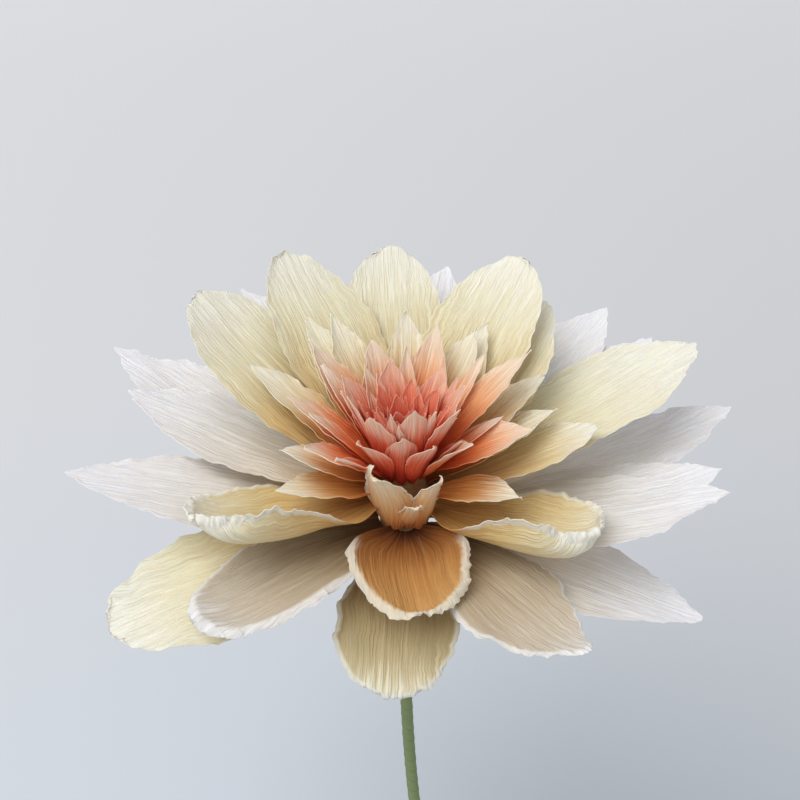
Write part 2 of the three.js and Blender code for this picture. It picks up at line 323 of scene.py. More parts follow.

# Guard petals: the outermost fourteen, cut from heavy white crepe paper with its grain lengthwise,
# pinched and glued at the claw and curled by hand. Cut edges fray, and the colour turns warm towards
# the claw, where painted shade from deep in the bloom darkens it.
paper = 0.0006
sheet_thickness = 0.00034
pinch = 38
pinch_fade = 12
flick_start = 0.65
roll_span = (0, 0.3)
curl_span = (0.1, 0.5)
shoulder = 1.15
taper = 1.8
tip_width = 0.001
bend_steps = 264
bend_reach = 1.1
first_row = 0.0005
large_rows = 7
row_step = 0.0036
small_rows = 3
inner_step = 0.0023
strip_count = 4
strip_step = 0.0025
crown = 0.0025
inner_start = first_row + large_rows * row_step
strip_start = inner_start + small_rows * inner_step
core_height = strip_start + (strip_count - 1) * strip_step + crown

# A cut-out's size, and where it is widest as a share of its length. Petals are in rows, counted
# from the lowest, and each has its turn round the core and its slope. bow bends it evenly, flick
# lifts its tip, cup curls both edges, left and right curl one, and roll leans it over.
guard_cut = {"long": 0.146, "wide": 0.054, "claw": 0.0056, "widest": 0.55, "point": 0.95, "cup": 8}
guard_petals = {
    12: (0, {"turn": -17, "slope": -10, "bow": -4, "long": 0.92}),
    9: (0, {"turn": 20, "slope": 9, "bow": 14, "long": 1.16}),
    13: (1, {"turn": -48, "slope": -7, "flick": 50, "long": 0.72}),
    10: (1, {"turn": 1, "slope": 10.5, "bow": 24, "long": 0.96}),
    8: (1, {"turn": 34, "slope": 19, "long": 1.04}),
    5: (1, {"turn": 112, "slope": 19, "long": 0.95}),
    2: (1, {"turn": 150, "slope": 14.5, "long": 1.15}),
    1: (1, {"turn": 184, "slope": 13.4, "bow": 8}),
    14: (
        1,
        {"turn": 219, "slope": -3, "flick": 50, "cup": 22, "left": 30}
        | {"long": 0.72, "wide": 1.15, "point": 0.5},
    ),
    11: (2, {"turn": -7, "slope": 10, "bow": 26, "long": 0.96}),
    7: (2, {"turn": 45, "slope": 20, "long": 1.03}),
    6: (3, {"turn": 80, "slope": 26, "long": 0.94}),
    4: (4, {"turn": 130.5, "slope": 27.5, "long": 0.9}),
    3: (4, {"turn": 158.6, "slope": 10.8, "long": 0.95}),
}

# Handwork that only the fine sheets have: a lip so wide and turned over so far, a claw left wider
# to close the gap beside it, and a tip that is cupped less where it narrows.
guard_handwork = {
    13: {"lip": 0.003, "turned": 75, "claw": 0.009},
    14: {"lip": 0.006, "turned": 100, "claw": 0.009, "evened": True},
}
guard_ridges = (0.0023, 0.00022)
guard_seed = 100
seed_step = 10
plain_grid = (6, 4)
curled_grid = (8, 6)


def row_height(row):
    """Rows of large petals come first, then the closer rows of small ones."""
    if row < large_rows:
        return first_row + row * row_step
    return inner_start + (row - large_rows) * inner_step


def core_radius_at(height):
    """The core is full and upright at its foot and rounded off at its top."""
    return core_radius * np.sqrt(1 - np.clip(height / core_height, 0, 1) ** 3)


def half_width(cut, u):
    """Half the width of the flat cut-out, from its claw through its shoulder to its point."""
    claw = cut["claw"] / cut["wide"]
    past = np.clip((u - cut["widest"]) / (1 - cut["widest"]), 0, 1)
    spread = np.sin(math.pi / 2 * np.clip(u / cut["widest"], 0, 1)) ** shoulder
    narrowing = np.maximum(1 - past**taper, tip_width) ** cut["point"]
    return cut["wide"] / 2 * (claw + (1 - claw) * spread) * narrowing


def rise_at(pose, u):
    """How steeply the petal rises there: its slope, its even bend and the flick of its tip."""
    flicked = np.clip((u - flick_start) / (1 - flick_start), 0, 1) ** 2
    bent = pose["slope"] + pose.get("bow", 0) * (u - 0.5) + pose.get("flick", 0) * flicked
    return np.radians(bent)


def curled(cut, pose, u, v):
    """The middle surface of a petal that leaves the origin along +X. u is the share of its
    length, and v goes from -1 at its clockwise edge to 1 at its anticlockwise edge."""
    shares = np.linspace(0, bend_reach, bend_steps + 1)
    stride = cut["long"] * bend_reach / bend_steps
    rises = rise_at(pose, (shares[1:] + shares[:-1]) / 2)
    x = np.interp(u, shares, np.concatenate([[0], np.cumsum(np.cos(rises) * stride)]))
    z = np.interp(u, shares, np.concatenate([[0], np.cumsum(np.sin(rises) * stride)]))
    rise = rise_at(pose, u)
    tilt = np.radians(pose.get("roll", 0)) * ease(u, *roll_span)
    across = [-np.sin(rise) * np.sin(tilt), np.cos(tilt), np.cos(rise) * np.sin(tilt)]
    up = [-np.sin(rise) * np.cos(tilt), -np.sin(tilt), np.cos(rise) * np.cos(tilt)]
    curl = ease(u, *curl_span) * np.where(v > 0, pose.get("left", 0), pose.get("right", 0))
    half = half_width(cut, u)
    evened = np.where(u > cut["widest"], 2 * half / cut["wide"], 1) if "evened" in pose else 1
    cup = np.radians((cut["cup"] + curl) * evened + pinch * np.exp(-pinch_fade * u))
    sideways = half * np.sin(cup * v) / cup
    lift = half * (1 - np.cos(cup * v)) / cup
    middle = [x, np.zeros_like(x), z]
    return np.stack([m + a * sideways + b * lift for m, a, b in zip(middle, across, up)], -1)


def seat_radius(cut, pose, height, rows, columns):
    """How far from the core's axis the claw is glued, for all of the petal to clear the core."""
    u, v = np.meshgrid(np.linspace(0, 1, rows + 1), np.linspace(-1, 1, columns + 1), indexing="ij")
    x, y, z = np.moveaxis(curled(cut, pose, u, v), -1, 0)
    clear = core_radius_at(z + height) + seat_gap + paper / 2
    reach = np.sqrt(np.maximum(clear**2 - y**2, 0)) - x
    return np.max(reach[z + height < core_height])


def shell(points, normals):
    """A closed sheet round a grid of points: its two faces and the cut edge between them."""
    rows, columns = points.shape[:2]
    out = normals * sheet_thickness / 2
    both = np.concatenate([points + out, points - out])
    i, j = np.meshgrid(np.arange(rows - 1), np.arange(columns - 1), indexing="ij")
    a = (i * columns + j).ravel()
    upper = np.stack([a, a + columns, a + columns + 1, a + 1], 1)
    lower = upper[:, ::-1] + rows * columns
    edge = np.concatenate(
        [
            np.arange(columns - 1),
            np.arange(rows - 1) * columns + columns - 1,
            (rows - 1) * columns + np.arange(columns - 1, 0, -1),
            np.arange(rows - 1, 0, -1) * columns,
        ]
    )
    after = np.roll(edge, -1)
    rim = np.stack([edge, after, after + rows * columns, edge + rows * columns], 1)
    return both.reshape(-1, 3), np.concatenate([upper, lower, rim])


def surface_directions(points):
    """The directions out of a sheet, forward along it and aside across it, at each of its points."""
    along = np.gradient(points, axis=0)
    across = np.gradient(points, axis=1)
    normals = direction(np.cross(along, across))
    normals[-1] = normals[-2]
    aside = direction(across)
    return normals, direction(np.cross(aside, normals)), aside


edge_start = 0.03
edge_samples = 300


def edge_of(cut, along, sideways):
    """How far points of a flat petal are from its cut edge, which way the edge faces there, along
    and across the petal, and how far along the edge it is."""
    u = 1 - (1 - np.linspace(edge_start, 1, edge_samples)) ** 2
    half = half_width(cut, u)
    slope = np.gradient(half, u * cut["long"])
    slope = np.where(u > cut["widest"], np.minimum.accumulate(slope), slope)
    run = np.cumsum(np.hypot(np.gradient(half), np.gradient(u * cut["long"])))
    apart = np.hypot(u * cut["long"] - along[..., None], half - np.abs(sideways)[..., None])
    nearest = apart.argmin(-1)
    facing = direction(np.stack([-slope, u * 0 + 1], 1))[nearest]
    facing[..., 1] *= np.sign(sideways)
    return apart.min(-1), facing, run[nearest]


def in_head(points):
    """Points of the bloom, nodded forward and put on the end of the stem."""
    low, high = math.sin(nod), math.cos(nod)
    nodded = np.array([[1, 0, 0], [0, high, -low], [0, low, high]])
    return points @ nodded.T + head_place


# The sheet's mesh cells, along and across, and its irregularities: first how high, then how long.
large_cells = (0.0026, 0.00062)
lip_row = 0.0013
row_limits = (14, 72)
column_limits = (14, 96)
plain_crowding = 1.3
lip_crowding = 1.8
free_span = (0.12, 0.5)
full_width = 0.05
narrow_half = 0.006
edge_lanes = (3, 11)
slow_cut, slow_cut_length = 0.0014, 0.009
quick_cut, quick_cut_length = 0.0008, 0.0021
tooth_lanes = (5, 9)
broad_tooth, broad_tooth_width = 0.0013, 0.0019
fine_tooth, fine_tooth_width = 0.0006, 0.0009
tooth_fade = 9
fan_start = 0.1
ridge_wander = 0.4
wander_width, wander_length = 0.006, 0.012
ridge_length, broad_ridge_length = 0.02, 0.03
broad_ridge_share = 0.8
ridge_span = (0.03, 0.55)
heave_height = 0.0012
heave_width, heave_length = 0.014, 0.024
flutter_height, flutter_length = 0.0009, 0.0034
flutter_reach = 0.006
flutter_half = 0.008
lean_span = (0.35, 1.15)
fray_reach = 0.0009
fray_length, fray_width = 0.004, 0.002
fray_span = (0.3, 0.6)
fray_even, fray_uneven = 0.6, 0.4
lip_span = (0.2, 0.42)
notch_depth, notch_length = 0.0006, 0.0014
notch_span = (0, 0.5)
pale_span = (0.05, 0.5)
grain_offset = 0.37


def crepe_petal(base, pose, height, solid_grid, ridged, seed, cells=large_cells):
    """One petal of creped paper, as points, faces and what its finish reads. Its ridges run with
    the grain, meet at the pinched claw and run out over the cut edges."""
    cut = dict(base)
    for name in ("long", "wide"):
        cut[name] = base[name] * pose.get(name, 1)
    for name in ("claw", "widest", "point", "cup"):
        cut[name] = pose.get(name, base[name])
    pitch, relief = ridged
    row_size, column_size = cells
    lip = pose.get("lip", 0)
    if lip:
        row_size = min(row_size, lip_row)
    rows = int(np.clip(cut["long"] / row_size, *row_limits))
    columns = int(np.clip(cut["wide"] / column_size, *column_limits))
    u = 1 - (1 - np.linspace(0, 1, rows + 1)) ** (lip_crowding if lip else plain_crowding)
    u, v = np.meshgrid(u, np.linspace(-1, 1, columns + 1), indexing="ij")
    half = half_width(cut, u)
    along = u * cut["long"]
    sideways = v * half
    outward = ease(u, *free_span)
    small = min(1, (cut["wide"] / full_width) ** 0.5)

    # The scissors wander, and the crepe frays where it is cut across its ridges.
    cuts = [
        slow_cut * drift(along / slow_cut_length, lane, seed)
        + quick_cut * drift(along / quick_cut_length, lane, seed + 1)
        for lane in edge_lanes
    ]
    wander = np.where(v > 0, cuts[0], cuts[1]) * outward * np.minimum(half / narrow_half, 1) * small
    ragged = v * (1 + wander / half)
    teeth = broad_tooth * drift(sideways / broad_tooth_width, tooth_lanes[0], seed + 2)
    teeth = teeth + fine_tooth * drift(sideways / fine_tooth_width, tooth_lanes[1], seed + 2)
    teeth = teeth * small * u**tooth_fade
    points = curled(cut, pose, u, ragged)
    inward, facing, run = edge_of(cut, along, sideways)

    # Creping: long irregular ridges, stronger towards the tip, on paper that heaves a little.
    fan = ease(u, fan_start, cut["widest"])
    grain_x = v * (half * fan + cut["wide"] / 2 * (1 - fan))
    wandering = drift(grain_x / wander_width, along / wander_length, seed + 3)
    wandering = grain_x + ridge_wander * pitch * wandering
    ridges = drift(2 * wandering / pitch, along / ridge_length, seed + 4)
    ridges = ridges + broad_ridge_share * drift(wandering / pitch, along / broad_ridge_length, seed + 5)
    heave = pose.get("heave", 1) * drift(grain_x / heave_width, along / heave_length, seed + 6)
    normals, forward, aside = surface_directions(points)
    lift = relief * ridges * ease(u, *ridge_span) + heave_height * small * heave * outward
    lift = lift + pose.get("crease", 0) * np.abs(sideways) / (cut["wide"] / 2) * outward
    flutter = flutter_height * drift(along / flutter_length, v * 2, seed + 7)
    flutter = flutter * np.clip(1 - inward / flutter_reach, 0, 1) ** 2
    lift = lift + small * flutter * outward * np.minimum(half / flutter_half, 1)
    skew = pose.get("skew", 0) * ease(u, *lean_span)
    points = points + normals * lift[..., None] + aside * skew[..., None] + forward * teeth[..., None]

    # A stretched lip: the last few millimetres are rolled outwards and notched by the ridges.
    frayed = fray_even + fray_uneven * drift(along / fray_length, sideways / fray_width, seed + 9)
    frayed = np.clip(1 - inward / fray_reach, 0, 1) * frayed * ease(u, *fray_span)
    if lip:
        bent = np.clip(1 - inward / lip, 0, 1) * ease(u, *lip_span)
        most = math.radians(pose["turned"])
        out = forward * facing[..., :1] + aside * facing[..., 1:]
        slide = lip * (np.sin(bent * most) / most - bent)
        drop = lip * (1 - np.cos(bent * most)) / most
        notch = drift(run / notch_length, v * 0.3 + 7, seed + 8)
        notch = notch_depth * ease(bent, *notch_span) * notch
        points = points + out * slide[..., None] - normals * (drop - notch)[..., None]
        frayed = np.maximum(frayed, ease(bent, *pale_span))

    normals, _, _ = surface_directions(points)
    turn = math.radians(pose["turn"])
    spin = [[math.cos(turn), -math.sin(turn), 0], [math.sin(turn), math.cos(turn), 0], [0, 0, 1]]
    both, faces = shell(points, normals)
    seat = [seat_radius(cut, pose, height, *solid_grid), 0, height]
    both = in_head((both + seat) @ np.array(spin).T)
    grain = np.stack([grain_x, along, np.full_like(along, seed * grain_offset)], -1)
    marks = (np.concatenate([a, a]) for a in (grain.reshape(-1, 3), u.ravel(), frayed.ravel()))
    return both, faces, *marks


# Light glows through thin paper a little. The noises run along the grain, as its ridges do, and
# make the dye uneven and the surface rough, and they darken the colour in its hollows as painted shade.
glow = 0.35
glow_colours = (1.0, 0.72, 0.5)
glow_depth = 0.001
paper_gloss = 0.25
paper_rough, paper_uneven = 0.8, 0.15
paper_relief = 0.0005
relief_broad, relief_streaked, relief_fine = 0.35, 0.9, 0.6
shade_least, shade_streaked, shade_broad, shade_fine = 0.93, 0.07, 0.04, 0.06
mottle = (60, 40, 1)
broad_noise = (1.1, 30)
streak_noise = (2.6, 45)
fine_noise = (5.0, 190)
noise_middle = (0.3, 0.7)
dye_mottled, dye_streaked, dye_broad = 0.16, 0.09, 0.05
tip_streaked = 0.16
rim_strength = 0.7


def crepe_finish(name, claw_dye_and_shade, tip_colour, rim_colour, tip_from, ridge_pitch):
    """Matt creped paper. The claw stops are (metres from the claw, colour) pairs: the dye, darkened
    near the claw by painted shade from deep in the bloom. The tip and the frayed rim fade to their own
    colours."""
    longest = claw_dye_and_shade[-1][0]
    stops = [(place / longest, (*colour, 1)) for place, colour in claw_dye_and_shade]

    def surface(flow):
        grain = flow.node("Attribute", {"attribute_name": "grain"}, {}, "Vector")
        share = flow.node("Attribute", {"attribute_name": "share"}, {}, "Fac")
        rim = flow.node("Attribute", {"attribute_name": "rim"}, {}, "Fac")
        along = flow.node("SeparateXYZ", {}, {0: grain}, "Y")

        def drawn_out(scales, detail=2.0):
            """Noise drawn out along the grain, in waves to a ridge across it and to a metre along."""
            across, lengthwise = scales
            return grain.stretched((across / ridge_pitch, lengthwise, 1)).noise(detail)

        blotch = grain.stretched(mottle).noise()
        broad = drawn_out(broad_noise).between(*noise_middle)
        streaks = drawn_out(streak_noise).between(*noise_middle)
        fine = drawn_out(fine_noise, 3.0)
        reach = along / longest + dye_mottled * (blotch - 0.5)
        reach = reach + dye_streaked * (streaks - 0.5) + dye_broad * (broad - 0.5)
        # The dye ramp, with painted shade in its darkest stops near the claw.
        dye = flow.node("ValToRGB", {"stops": stops}, {0: reach})
        faded = (share + tip_streaked * (streaks - 0.5)).between(*tip_from)
        colour = faded.blend(dye, (*tip_colour, 1))
        colour = (rim * rim_strength).blend(colour, (*rim_colour, 1))
        # Painted shade: the colour is darkened along the grooves between ridges, on top of the paper's
        # own uneven streaks.
        shade = shade_least + shade_streaked * streaks + shade_broad * broad + shade_fine * fine
        height = broad * relief_broad + streaks * relief_streaked + fine * relief_fine
        relief = {"Height": height, "Strength": 0.8, "Distance": paper_relief}
        return {
            "Base Color": colour.times(shade),
            "Roughness": paper_rough + paper_uneven * fine,
            "Subsurface Weight": glow,
            "Subsurface Radius": glow_colours,
            "Subsurface Scale": glow_depth,
            "Specular IOR Level": paper_gloss,
            "Normal": flow.node("Bump", {}, relief),
        }

    return finish(name, surface)


def paper_piece(node, material, sheets):
    """One piece from one or more sheets of paper, standing for its solid."""
    points, faces, start = [], [], 0
    for sheet in sheets:
        points.append(sheet[0])
        faces.append(sheet[1] + start)
        start += len(sheet[0])
    marks = (np.concatenate([sheet[k] for sheet in sheets]) for k in (2, 3, 4))
    made = paper_object(node + "_crepe", np.concatenate(points), np.concatenate(faces), *marks)
    made.data.materials.append(material)
    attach(made, "root")
    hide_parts(node)


white_crepe = crepe_finish(
    "white_crepe",
    [
        (0.0, (0.42, 0.22, 0.09)),
        (0.022, (0.62, 0.44, 0.25)),
        (0.05, (0.76, 0.68, 0.57)),
        (0.09, (0.81, 0.77, 0.74)),
        (0.15, (0.83, 0.81, 0.82)),
    ],
    tip_colour=(0.86, 0.85, 0.88),
    rim_colour=(0.9, 0.9, 0.93),
    tip_from=(0.62, 1.0),
    ridge_pitch=0.0021,
)
# Painted shade: a darker copy of the white crepe for guard petals 13 and 14, which lie in shade under
# the petals above.
shaded_white_crepe = crepe_finish(
    "shaded_white_crepe",
    [
        (0.0, (0.22, 0.11, 0.04)),
        (0.025, (0.4, 0.29, 0.16)),
        (0.055, (0.52, 0.43, 0.31)),
        (0.085, (0.6, 0.53, 0.43)),
        (0.12, (0.68, 0.64, 0.59)),
    ],
    tip_colour=(0.78, 0.76, 0.75),
    rim_colour=(0.84, 0.83, 0.83),
    tip_from=(0.8, 1.05),
    ridge_pitch=0.0021,
)
for number, (row, pose) in guard_petals.items():
    solid_grid = curled_grid if "cup" in pose else plain_grid
    pose = pose | guard_handwork.get(number, {})
    # The two front guard petals with handwork take the copy with painted shade.
    material = shaded_white_crepe if number in guard_handwork else white_crepe
    seed = guard_seed + number * seed_step
    sheet = crepe_petal(guard_cut, pose, row_height(row), solid_grid, guard_ridges, seed)
    paper_piece(f"guard_petal_{number}", material, [sheet])

# Ray petals: twelve broad cream petals. Those at the back stand up flat, and those at the front are
# stretched into boats and a scoop with a pale crinkled lip. Their claws are brushed with gold, and
# painted shade darkens them near the core.
ray_cut = {"long": 0.128, "wide": 0.054, "claw": 0.0056, "widest": 0.62, "point": 0.7, "cup": 11}
boat = {"lip": 0.0045, "turned": 60, "claw": 0.012}
scoop = {"wide": 1.2, "widest": 0.4, "claw": 0.016, "skew": 0.004, "crease": 0.0015, "evened": True}
ray_petals = {
    11: (
        0,
        {"turn": 206, "slope": -4, "bow": -8, "roll": -16}
        | {"long": 1.03, "wide": 1.08, "point": 0.55},
    ),
    12: (0, {"turn": 266, "slope": -29, "bow": -30, "long": 0.6, "wide": 1.05, "point": 0.5}),
    8: (1, {"turn": 274, "slope": -6, "flick": 110, "cup": 62, "long": 0.47, "point": 0.5}),
    6: (3, {"turn": 24, "slope": 19, "long": 1.22, "wide": 1.08, "widest": 0.66, "point": 0.8}),
    7: (
        4,
        {"turn": -28, "slope": 4, "bow": 36, "flick": 80, "cup": 34, "right": 84}
        | {"long": 0.74, "wide": 1.28, "point": 0.5},
    ),
    5: (4, {"turn": 50, "slope": 32, "long": 0.91}),
    10: (5, {"turn": 6, "slope": 21, "bow": 4, "long": 0.66, "wide": 0.6}),
    3: (5, {"turn": 94, "slope": 37, "bow": 6, "long": 0.98, "point": 0.6}),
    1: (5, {"turn": 147, "slope": 33, "bow": 4, "long": 1.01, "wide": 1.08, "point": 0.5}),
    9: (
        5,
        {"turn": 206, "slope": 6.4, "bow": 30, "flick": 60, "cup": 21, "left": 93}
        | {"long": 0.77, "wide": 1.25, "point": 0.5},
    ),
    4: (6, {"turn": 61, "slope": 37.5, "bow": 4, "long": 0.96, "point": 0.55, "skew": -0.007}),
    2: (6, {"turn": 120, "slope": 38, "bow": 4, "long": 0.98, "point": 0.6, "skew": 0.006}),
}
ray_handwork = {
    7: boat,
    8: scoop | {"lip": 0.006, "turned": 120},
    9: boat,
    12: {"lip": 0.0035, "turned": 70, "evened": True},
}
ray_ridges = (0.0022, 0.00023)
wavy_ridges = (0.0034, 0.00055)
wavy_ray = 11
ray_seed = 400
cream_crepe = crepe_finish(
    "cream_crepe",
    [
        (0.0, (0.34, 0.13, 0.03)),
        (0.02, (0.6, 0.33, 0.1)),
        (0.046, (0.71, 0.53, 0.25)),
        (0.085, (0.81, 0.74, 0.53)),
        (0.13, (0.87, 0.83, 0.7)),
    ],
    tip_colour=(0.88, 0.85, 0.74),
    rim_colour=(0.9, 0.87, 0.78),
    tip_from=(0.7, 1.05),
    ridge_pitch=0.002,
)
# Ray petal 8's scoop: its golden dye over the whole short petal, darkened by painted shade for its
# hollow deep in the bloom.
ochre_shaded_crepe = crepe_finish(
    "ochre_shaded_crepe",
    [
        (0.0, (0.05, 0.012, 0.004)),
        (0.012, (0.26, 0.09, 0.02)),
        (0.03, (0.46, 0.22, 0.065)),
        (0.05, (0.58, 0.33, 0.12)),
        (0.07, (0.66, 0.45, 0.2)),
    ],
    tip_colour=(0.74, 0.62, 0.4),
    rim_colour=(0.86, 0.83, 0.72),
    tip_from=(0.9, 1.1),
    ridge_pitch=0.002,
)
# Painted shadow: a darker, olive copy of the cream crepe for ray petal 12, which hangs under ray petal
# 8.
olive_shaded_crepe = crepe_finish(
    "olive_shaded_crepe",
    [
        (0.0, (0.14, 0.07, 0.022)),
        (0.02, (0.3, 0.21, 0.09)),
        (0.04, (0.44, 0.35, 0.18)),
        (0.065, (0.57, 0.49, 0.3)),
        (0.085, (0.7, 0.63, 0.45)),
    ],
    tip_colour=(0.82, 0.78, 0.64),
    rim_colour=(0.88, 0.86, 0.78),
    tip_from=(0.8, 1.05),
    ridge_pitch=0.002,
)
# Ray petals 8 and 12 take darker copies of the cream crepe that carry painted shade.
ray_finishes = {8: ochre_shaded_crepe, 12: olive_shaded_crepe}
for number, (row, pose) in ray_petals.items():
    solid_grid = curled_grid if "cup" in pose else plain_grid
    pose = pose | ray_handwork.get(number, {})
    ridged = wavy_ridges if number == wavy_ray else ray_ridges
    seed = ray_seed + number * seed_step
    sheet = crepe_petal(ray_cut, pose, row_height(row), solid_grid, ridged, seed)
    paper_piece(f"ray_petal_{number}", ray_finishes.get(number, cream_crepe), [sheet])

# Inner petals: fourteen narrow petals between the rays and the centre, cut from butter-coloured
# crepe with pale frayed tips. Three at the front are short, cupped and ruffled round the heart.
inner_cut = {"long": 0.074, "wide": 0.025, "claw": 0.0042, "widest": 0.55, "point": 1, "cup": 22}
inner_petals = {
    11: (2, {"turn": 249, "slope": 73, "cup": 48, "point": 0.5}),
    12: (2, {"turn": 279, "slope": 55, "cup": 66, "point": 0.6}),
    13: (2, {"turn": 301, "slope": 71, "cup": 72, "point": 0.6}),
    7: (6, {"turn": 16, "slope": 26, "long": 0.95}),
    9: (6, {"turn": 200, "slope": 15, "long": 0.7}),
    10: (6, {"turn": -24, "slope": 14, "long": 0.66}),
    6: (7, {"turn": 23, "slope": 31, "long": 1, "wide": 0.9}),
    3: (7, {"turn": 54, "slope": 39, "long": 1.08}),
    4: (7, {"turn": 129, "slope": 40, "long": 1.15}),
    5: (7, {"turn": 158, "slope": 33, "long": 1.08}),
    8: (7, {"turn": 189, "slope": 26, "long": 0.7}),
    2: (8, {"turn": 58, "slope": 44, "long": 0.96}),
    1: (8, {"turn": 87, "slope": 51, "long": 0.99}),
    14: (8, {"turn": 121, "slope": 46, "long": 1.04}),
}
ruffled = {"lip": 0.0022, "turned": 75, "heave": 1.6}
inner_handwork = {
    11: ruffled | {"long": 0.55, "wide": 1.12, "widest": 0.45, "claw": 0.017, "skew": -0.005},
    12: ruffled | {"long": 0.42, "wide": 0.66, "widest": 0.4, "claw": 0.007, "skew": 0},
    13: ruffled | {"long": 0.5, "wide": 0.78, "widest": 0.4, "claw": 0.015, "skew": 0.002},
}
inner_ridges = (0.0019, 0.0002)
inner_crease = 0.0012
inner_lean = 0.003
inner_lean_step = 2.4
inner_seed = 700
small_cells = (0.0015, 0.0005)
small_grid = (4, 4)
butter_crepe = crepe_finish(
    "butter_crepe",
    [
        (0.0, (0.48, 0.12, 0.025)),
        (0.018, (0.68, 0.28, 0.07)),
        (0.036, (0.76, 0.45, 0.17)),
        (0.058, (0.82, 0.64, 0.35)),
        (0.08, (0.87, 0.77, 0.53)),
    ],
    tip_colour=(0.89, 0.84, 0.69),
    rim_colour=(0.9, 0.86, 0.74),
    tip_from=(0.45, 1.0),
    ridge_pitch=0.0017,
)
# Painted light: a lighter copy of the butter crepe, its dye ending sooner, for the three ruffled inner
# petals that sit in shade at the front.
apricot_lit_crepe = crepe_finish(
    "apricot_lit_crepe",
    [
        (0.0, (0.46, 0.13, 0.03)),
        (0.009, (0.74, 0.34, 0.12)),
        (0.018, (0.85, 0.52, 0.26)),
        (0.028, (0.89, 0.66, 0.42)),
        (0.04, (0.91, 0.76, 0.55)),
    ],
    tip_colour=(0.91, 0.79, 0.6),
    rim_colour=(0.92, 0.85, 0.7),
    tip_from=(0.6, 1.0),
    ridge_pitch=0.0017,
)


def unevenly(number, step, start=0):
    """From -1 to 1 and different for each petal, as no two are cut and glued alike."""
    return math.sin(number * step + start)


for number, (row, pose) in inner_petals.items():
    pose = {"crease": inner_crease, "skew": inner_lean * unevenly(number, inner_lean_step)} | pose
    pose = pose | inner_handwork.get(number, {})
    seed = inner_seed + number * seed_step
    sheet = crepe_petal(inner_cut, pose, row_height(row), small_grid, inner_ridges, seed, small_cells)
    # The three ruffled front petals take the lighter copy with painted light.
    material = apricot_lit_crepe if number in inner_handwork else butter_crepe
    paper_piece(f"inner_petal_{number}", material, [sheet])

# Heart petals: eleven peach petals round the coral centre, with a pale tip and a deep orange claw
# where the colour was brushed on before they were glued, darkened further near the core by painted
# shade. All but the three at the front, which are rose, have a second narrow petal tucked beside them.
heart_cut = {"long": 0.056, "wide": 0.021, "claw": 0.0038, "widest": 0.6, "point": 0.95, "cup": 26}
heart_petals = {
    7: {"turn": 26, "slope": 42, "long": 1.3},
    6: {"turn": 73, "slope": 53, "long": 1.16},
    2: {"turn": 112, "slope": 58, "long": 1.04},
    1: {"turn": 143, "slope": 50, "long": 1.22},
    9: {"turn": 171, "slope": 40},
    3: {"turn": 203, "slope": 33, "long": 0.8},
    10: {"turn": 232, "slope": 58, "long": 0.66, "wide": 0.8},
    8: {"turn": 262, "slope": 70, "long": 0.64, "wide": 0.74},
    5: {"turn": 293, "slope": 59.5, "long": 0.64, "wide": 0.78},
    4: {"turn": 326, "slope": 48, "long": 0.66, "wide": 0.95},
    11: {"turn": -2, "slope": 27, "long": 0.97, "wide": 1.35},
}
front_hearts = (5, 8, 10)
heart_row = 9
heart_point = 1.15
heart_crease = 0.0012
heart_lean = 0.0028
heart_lean_step = 1.7
heart_ridges = (0.0018, 0.00019)
heart_seed = 900
tucked_turn = 13
tucked_rise = 6
tucked_length = 0.82
tucked_width = 0.5
tucked_cells = (0.002, 0.0006)
tucked_seed = 905
peach_crepe = crepe_finish(
    "peach_crepe",
    [
        (0.0, (0.5, 0.05, 0.012)),
        (0.012, (0.76, 0.13, 0.035)),
        (0.026, (0.87, 0.26, 0.085)),
        (0.043, (0.91, 0.43, 0.2)),
        (0.066, (0.92, 0.62, 0.4)),
    ],
    tip_colour=(0.9, 0.74, 0.6),
    rim_colour=(0.91, 0.78, 0.66),
    tip_from=(0.5, 1.0),
    ridge_pitch=0.0016,
)
rose_crepe = crepe_finish(
    "rose_crepe",
    [
        (0.0, (0.45, 0.02, 0.008)),
        (0.012, (0.78, 0.09, 0.035)),
        (0.026, (0.87, 0.19, 0.09)),
        (0.04, (0.9, 0.33, 0.2)),
        (0.056, (0.91, 0.49, 0.34)),
    ],
    tip_colour=(0.92, 0.58, 0.44),
    rim_colour=(0.92, 0.64, 0.51),
    tip_from=(0.5, 1.0),
    ridge_pitch=0.0016,
)
for number, pose in heart_petals.items():
    lean = heart_lean * unevenly(number, heart_lean_step)
    pose = {"crease": heart_crease, "skew": lean, "point": heart_point} | pose
    height = row_height(heart_row)
    seed = heart_seed + number * seed_step
    sheets = [crepe_petal(heart_cut, pose, height, small_grid, heart_ridges, seed, small_cells)]
    if number not in front_hearts:
        tucked = {
            "turn": pose["turn"] + tucked_turn,
            "slope": pose["slope"] + tucked_rise,
            "long": tucked_length * pose.get("long", 1),
            "wide": tucked_width,
            "skew": -pose["skew"],
        }
        seed = tucked_seed + number * seed_step
        sheets.append(
            crepe_petal(heart_cut, pose | tucked, height, small_grid, heart_ridges, seed, tucked_cells)
        )
    material = rose_crepe if number in front_hearts else peach_crepe
    paper_piece(f"heart_petal_{number}", material, sheets)

